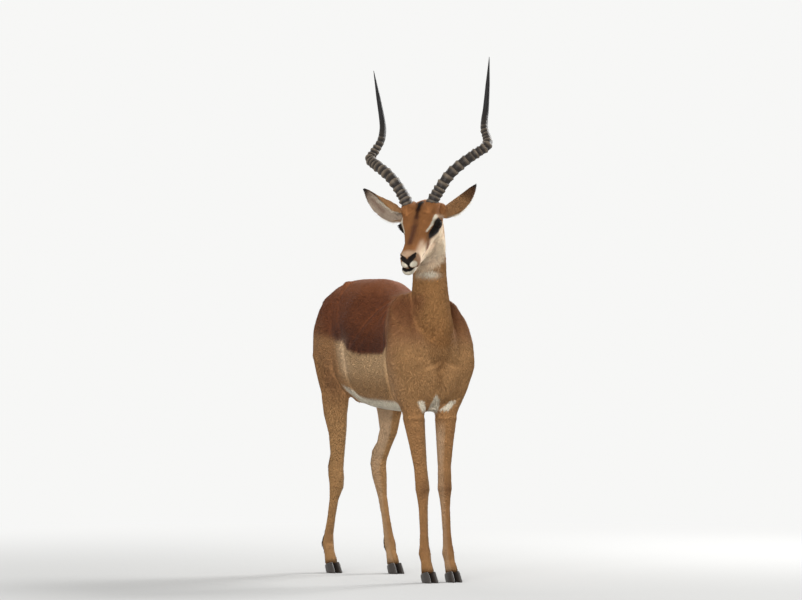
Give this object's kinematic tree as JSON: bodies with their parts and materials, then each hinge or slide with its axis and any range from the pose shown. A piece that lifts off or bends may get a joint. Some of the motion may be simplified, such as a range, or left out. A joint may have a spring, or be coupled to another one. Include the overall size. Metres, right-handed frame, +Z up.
{
  "type": "impala antelope",
  "caption": "Life-size standing impala ram with its head raised and turned to one side and long lyre-shaped horns, a still museum-like model.",
  "frame": {"origin": "centre of the box of floor that the whole animal covers, at the level of the soles", "axes": "+Z up, the body points along -Y, +X is the animal's left"},
  "size_m": [0.3868, 0.8496, 1.6016],
  "materials": {
    "coat": "short, close animal hair",
    "eye": "wet and glossy",
    "horn": "ringed horn, satin",
    "hoof": "satin horn"
  },
  "bodies": {
    "root": {"head": "coat", "neck": "coat", "trunk": "coat", "tail": "coat", "foreleg_left": "coat", "foreleg_right": "coat", "hindleg_left": "coat", "hindleg_right": "coat", "ear_left": "coat", "ear_right": "coat", "eye_left": "eye", "eye_right": "eye", "horn_left": "horn", "horn_right": "horn", "hoof_fore_left_outer": "hoof", "hoof_fore_left_inner": "hoof", "hoof_fore_right_outer": "hoof", "hoof_fore_right_inner": "hoof", "hoof_hind_left_outer": "hoof", "hoof_hind_left_inner": "hoof", "hoof_hind_right_outer": "hoof", "hoof_hind_right_inner": "hoof"}
  },
  "joints": []
}
